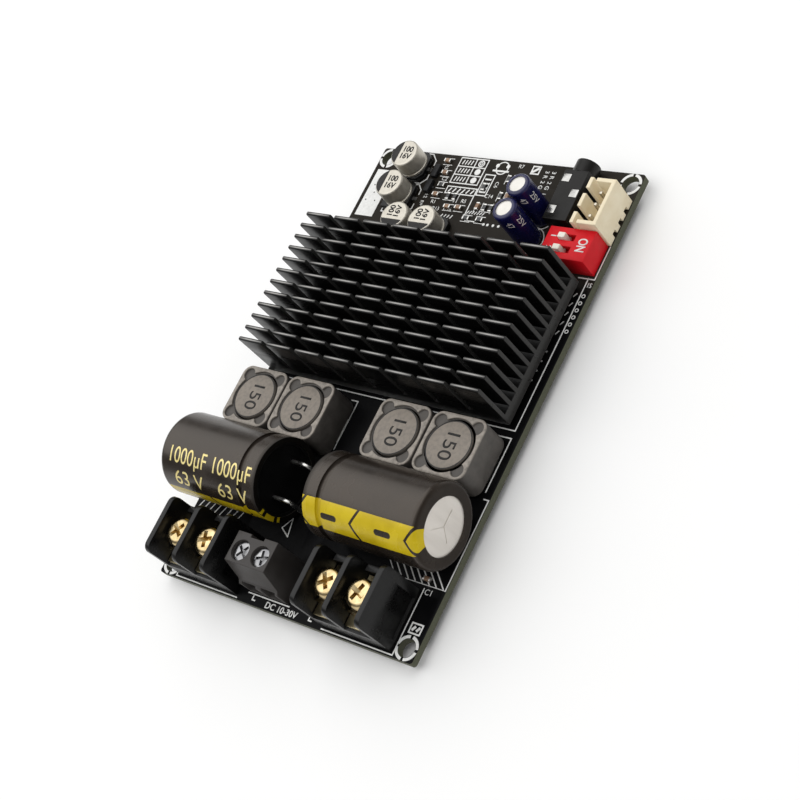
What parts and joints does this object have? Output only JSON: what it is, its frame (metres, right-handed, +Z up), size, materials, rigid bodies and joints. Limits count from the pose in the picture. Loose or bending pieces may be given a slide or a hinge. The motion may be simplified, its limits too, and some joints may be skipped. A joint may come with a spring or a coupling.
{
  "type": "audio amplifier board",
  "caption": "Black circuit board with a finned heatsink, shielded inductors, supply capacitors laid flat, screw terminals, a signal jack and a slide switch; amplifies stereo sound.",
  "frame": {"origin": "centre of the four mounting holes, on the underside of the circuit board", "axes": "+X to the right along the front edge, +Y from the screw terminals to the signal jack, +Z up through the components"},
  "size_m": [0.065, 0.1, 0.0193],
  "materials": {
    "solder_mask": "black solder mask over glass fibre laminate",
    "black_anodised": "black anodised extrusion",
    "zinc_steel": "zinc plated",
    "chip_plastic": "moulded epoxy",
    "silicone": "soft heat pad",
    "ferrite": "sintered ferrite",
    "ferrite_core": "sintered ferrite, coated",
    "copper": "enamelled copper wire",
    "tin": "tinned",
    "bare_aluminium": "drawn can",
    "black_sleeve": "shrunk sleeve",
    "black_rubber": "rubber bung",
    "black_plastic": "moulded",
    "plated_brass": "plated strip",
    "gold_steel": "yellow zinc plated",
    "grey_plastic": "moulded",
    "nickel": "nickel plated",
    "can_aluminium": "coated can",
    "blue_sleeve": "shrunk sleeve",
    "cream_plastic": "moulded nylon",
    "red_plastic": "moulded",
    "white_plastic": "moulded",
    "chip_ceramic": "layered ceramic",
    "chip_black": "glazed film"
  },
  "bodies": {
    "board": {"pcb": "solder_mask", "heatsink": "black_anodised", "heatsink_screws": "zinc_steel", "amplifier_chip": "chip_plastic", "thermal_pad": "silicone", "inductor_shield_1": "ferrite", "inductor_shield_2": "ferrite", "inductor_shield_3": "ferrite", "inductor_shield_4": "ferrite", "inductor_core_1": "ferrite_core", "inductor_core_2": "ferrite_core", "inductor_core_3": "ferrite_core", "inductor_core_4": "ferrite_core", "inductor_windings": "copper", "inductor_terminals": "tin", "capacitor_can_left": "bare_aluminium", "capacitor_can_right": "bare_aluminium", "capacitor_sleeve_left": "black_sleeve", "capacitor_sleeve_right": "black_sleeve", "capacitor_seal_left": "black_rubber", "capacitor_seal_right": "black_rubber", "capacitor_leads_left": "tin", "capacitor_leads_right": "tin", "barrier_housing_left": "black_plastic", "barrier_housing_right": "black_plastic", "barrier_contacts_left": "plated_brass", "barrier_contacts_right": "plated_brass", "clamp_washers": "gold_steel", "dc_housing": "grey_plastic", "dc_pins": "tin", "smd_capacitor_cans": "can_aluminium", "smd_capacitor_bases": "black_plastic", "smd_capacitor_feet": "tin", "radial_capacitor_cans": "bare_aluminium", "radial_capacitor_sleeves": "blue_sleeve", "radial_capacitor_leads": "tin", "jack_housing": "black_plastic", "jack_contacts": "nickel", "header_shroud": "cream_plastic", "header_pins": "tin", "dip_body": "red_plastic", "dip_pins": "tin", "chip_capacitors": "chip_ceramic", "chip_resistors": "chip_black", "chip_terminals": "tin", "small_transistors": "chip_plastic"},
    "washer_1": {"lock_washer_1": "gold_steel"},
    "screw_1": {"terminal_screw_1": "gold_steel"},
    "washer_2": {"lock_washer_2": "gold_steel"},
    "screw_2": {"terminal_screw_2": "gold_steel"},
    "washer_3": {"lock_washer_3": "gold_steel"},
    "screw_3": {"terminal_screw_3": "gold_steel"},
    "washer_4": {"lock_washer_4": "gold_steel"},
    "screw_4": {"terminal_screw_4": "gold_steel"},
    "dc_screw_1": {"dc_screw_1": "nickel"},
    "dc_cage_1": {"dc_cage_1": "nickel"},
    "dc_screw_2": {"dc_screw_2": "nickel"},
    "dc_cage_2": {"dc_cage_2": "nickel"},
    "dip_slider_1": {"dip_slider_1": "white_plastic"},
    "dip_slider_2": {"dip_slider_2": "white_plastic"}
  },
  "joints": [
    {"name": "terminal_screw_1_rise", "type": "slide", "parent": "board", "child": "washer_1", "axis": [0, 0, 1], "range_m": [-0.0009, 0.002]},
    {"name": "terminal_screw_1_turn", "type": "hinge", "parent": "washer_1", "child": "screw_1", "pos_m": [-0.02311, -0.04325, 0.0097], "axis": [0, 0, 1], "range_deg": [-649, 1441]},
    {"name": "terminal_screw_2_rise", "type": "slide", "parent": "board", "child": "washer_2", "axis": [0, 0, 1], "range_m": [-0.0009, 0.002]},
    {"name": "terminal_screw_2_turn", "type": "hinge", "parent": "washer_2", "child": "screw_2", "pos_m": [-0.01549, -0.04325, 0.0097], "axis": [0, 0, 1], "range_deg": [-649, 1441]},
    {"name": "terminal_screw_3_rise", "type": "slide", "parent": "board", "child": "washer_3", "axis": [0, 0, 1], "range_m": [-0.0009, 0.002]},
    {"name": "terminal_screw_3_turn", "type": "hinge", "parent": "washer_3", "child": "screw_3", "pos_m": [0.01549, -0.04325, 0.0097], "axis": [0, 0, 1], "range_deg": [-649, 1441]},
    {"name": "terminal_screw_4_rise", "type": "slide", "parent": "board", "child": "washer_4", "axis": [0, 0, 1], "range_m": [-0.0009, 0.002]},
    {"name": "terminal_screw_4_turn", "type": "hinge", "parent": "washer_4", "child": "screw_4", "pos_m": [0.02311, -0.04325, 0.0097], "axis": [0, 0, 1], "range_deg": [-649, 1441]},
    {"name": "dc_screw_1_turn", "type": "hinge", "parent": "board", "child": "dc_screw_1", "pos_m": [-0.00599, -0.043, 0.0105], "axis": [0, 0, 1], "range_deg": [-793, 1]},
    {"name": "dc_cage_1_lift", "type": "slide", "parent": "board", "child": "dc_cage_1", "axis": [0, 0, 1], "range_m": [0, 0.0011]},
    {"name": "dc_screw_2_turn", "type": "hinge", "parent": "board", "child": "dc_screw_2", "pos_m": [-0.00091, -0.043, 0.0105], "axis": [0, 0, 1], "range_deg": [-793, 1]},
    {"name": "dc_cage_2_lift", "type": "slide", "parent": "board", "child": "dc_cage_2", "axis": [0, 0, 1], "range_m": [0, 0.0011]},
    {"name": "dip_slider_1_slide", "type": "slide", "parent": "board", "child": "dip_slider_1", "axis": [1, 0, 0], "range_m": [0, 0.0018]},
    {"name": "dip_slider_2_slide", "type": "slide", "parent": "board", "child": "dip_slider_2", "axis": [1, 0, 0], "range_m": [0, 0.0018]}
  ],
  "couplings": [
    {"joint": "terminal_screw_1_turn", "follows": "terminal_screw_1_rise", "rad_per_m": 12566},
    {"joint": "terminal_screw_2_turn", "follows": "terminal_screw_2_rise", "rad_per_m": 12566},
    {"joint": "terminal_screw_3_turn", "follows": "terminal_screw_3_rise", "rad_per_m": 12566},
    {"joint": "terminal_screw_4_turn", "follows": "terminal_screw_4_rise", "rad_per_m": 12566},
    {"joint": "dc_screw_1_turn", "follows": "dc_cage_1_lift", "rad_per_m": -12566},
    {"joint": "dc_screw_2_turn", "follows": "dc_cage_2_lift", "rad_per_m": -12566}
  ]
}
